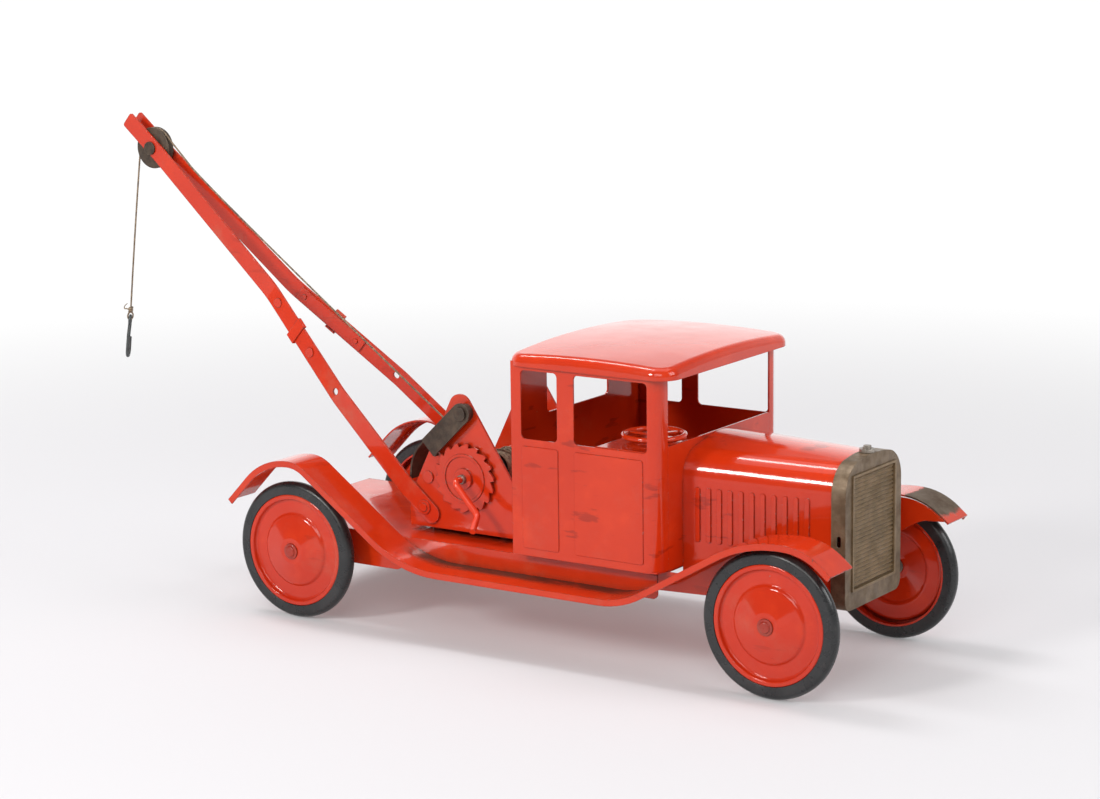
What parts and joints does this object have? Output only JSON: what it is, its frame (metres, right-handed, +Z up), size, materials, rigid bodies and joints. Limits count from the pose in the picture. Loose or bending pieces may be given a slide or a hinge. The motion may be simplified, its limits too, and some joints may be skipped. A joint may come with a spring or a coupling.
{
  "type": "toy tow truck",
  "caption": "Pressed-steel toy tow truck with an open cab, disc wheels, hand-cranked ratchet winch, fixed two-leg boom, pulley, cord and hook.",
  "frame": {"origin": "on the ground under the middle of the truck and boom's overall box, cord and hook left out", "axes": "+X is the truck's front, +Y its left side, +Z up"},
  "size_m": [0.5444, 0.158, 0.2785],
  "materials": {
    "enamel_red": "glossy worn enamel",
    "dark_steel": "tarnished, brown-grey",
    "bare_steel": "dull steel",
    "tyre_rubber": "aged black rubber",
    "cotton_cord": "twisted cotton"
  },
  "bodies": {
    "truck": {"axle_washers": "bare_steel", "boom_clips": "enamel_red", "boom_leg_left": "enamel_red", "boom_leg_right": "enamel_red", "boom_pivot_rivets": "enamel_red", "boom_rivets": "enamel_red", "boom_splice_left": "enamel_red", "boom_splice_right": "enamel_red", "cab_back": "enamel_red", "cab_floor": "enamel_red", "cab_front": "enamel_red", "cab_roof": "enamel_red", "cab_side_left": "enamel_red", "cab_side_right": "enamel_red", "cord_hanging": "cotton_cord", "cord_run": "cotton_cord", "dash_shelf": "enamel_red", "deck": "enamel_red", "drum_guard": "enamel_red", "fender_strip_left": "enamel_red", "fender_strip_right": "enamel_red", "front_apron_left": "enamel_red", "front_apron_right": "enamel_red", "front_axle": "bare_steel", "front_rail_left": "enamel_red", "front_rail_right": "enamel_red", "grille": "dark_steel", "hood": "enamel_red", "hub_caps": "bare_steel", "pawl_pin": "dark_steel", "pulley_pin": "dark_steel", "radiator_cap": "dark_steel", "radiator_shell": "dark_steel", "rear_axle": "bare_steel", "rear_panel": "enamel_red", "side_rail_left": "enamel_red", "side_rail_right": "enamel_red", "steering_column": "bare_steel", "tie_rod": "enamel_red", "winch_base": "enamel_red", "winch_plate_left": "enamel_red", "winch_plate_right": "enamel_red"},
    "wheel_front_right": {"wheel_disc_front_right": "enamel_red", "tyre_front_right": "tyre_rubber"},
    "wheel_front_left": {"wheel_disc_front_left": "enamel_red", "tyre_front_left": "tyre_rubber"},
    "wheel_rear_right": {"wheel_disc_rear_right": "enamel_red", "tyre_rear_right": "tyre_rubber"},
    "wheel_rear_left": {"wheel_disc_rear_left": "enamel_red", "tyre_rear_left": "tyre_rubber"},
    "winch": {"winch_shaft": "bare_steel", "drum": "enamel_red", "drum_windings": "cotton_cord", "ratchet_wheel": "enamel_red", "crank": "enamel_red"},
    "pawl": {"pawl": "dark_steel"},
    "pulley": {"pulley": "dark_steel"},
    "steering": {"steering_wheel": "enamel_red"},
    "knot": {"cord_knot": "cotton_cord"},
    "hook": {"hook": "dark_steel"}
  },
  "joints": [
    {"name": "wheel_front_right_roll", "type": "hinge", "parent": "truck", "child": "wheel_front_right", "pos_m": [0.22578, 0, 0.04], "axis": [0, 1, 0], "continuous": true},
    {"name": "wheel_front_left_roll", "type": "hinge", "parent": "truck", "child": "wheel_front_left", "pos_m": [0.22578, 0, 0.04], "axis": [0, 1, 0], "continuous": true},
    {"name": "wheel_rear_right_roll", "type": "hinge", "parent": "truck", "child": "wheel_rear_right", "pos_m": [-0.08772, 0, 0.04], "axis": [0, 1, 0], "continuous": true},
    {"name": "wheel_rear_left_roll", "type": "hinge", "parent": "truck", "child": "wheel_rear_left", "pos_m": [-0.08772, 0, 0.04], "axis": [0, 1, 0], "continuous": true},
    {"name": "winch_crank", "type": "hinge", "parent": "truck", "child": "winch", "pos_m": [0.01098, 0, 0.0875], "axis": [0, -1, 0], "range_deg": [0, 396]},
    {"name": "pulley_spin", "type": "hinge", "parent": "truck", "child": "pulley", "pos_m": [-0.24554, 0, 0.25805], "axis": [0, 1, 0], "range_deg": [0, 346]},
    {"name": "hook_hoist", "type": "slide", "parent": "truck", "child": "knot", "axis": [0.1305, 0, 0.9914], "range_m": [0, 0.07], "deforming": ["cord_hanging"]},
    {"name": "hook_swing", "type": "hinge", "parent": "knot", "child": "hook", "pos_m": [-0.27143, 0, 0.15253], "axis": [0.829, 0.5592, 0], "range_deg": [-35, 35]},
    {"name": "pawl_lift", "type": "hinge", "parent": "truck", "child": "pawl", "pos_m": [0.01118, -0.0428, 0.1252], "axis": [0, 1, 0], "range_deg": [0, 40]},
    {"name": "steering_turn", "type": "hinge", "parent": "truck", "child": "steering", "pos_m": [0.13628, -0.0385, 0.126], "axis": [0, 0, 1], "continuous": true}
  ],
  "couplings": [
    {"joint": "pulley_spin", "follows": "winch_crank", "ratio": 0.8707},
    {"joint": "hook_hoist", "follows": "winch_crank", "m_per_rad": 0.0101}
  ]
}
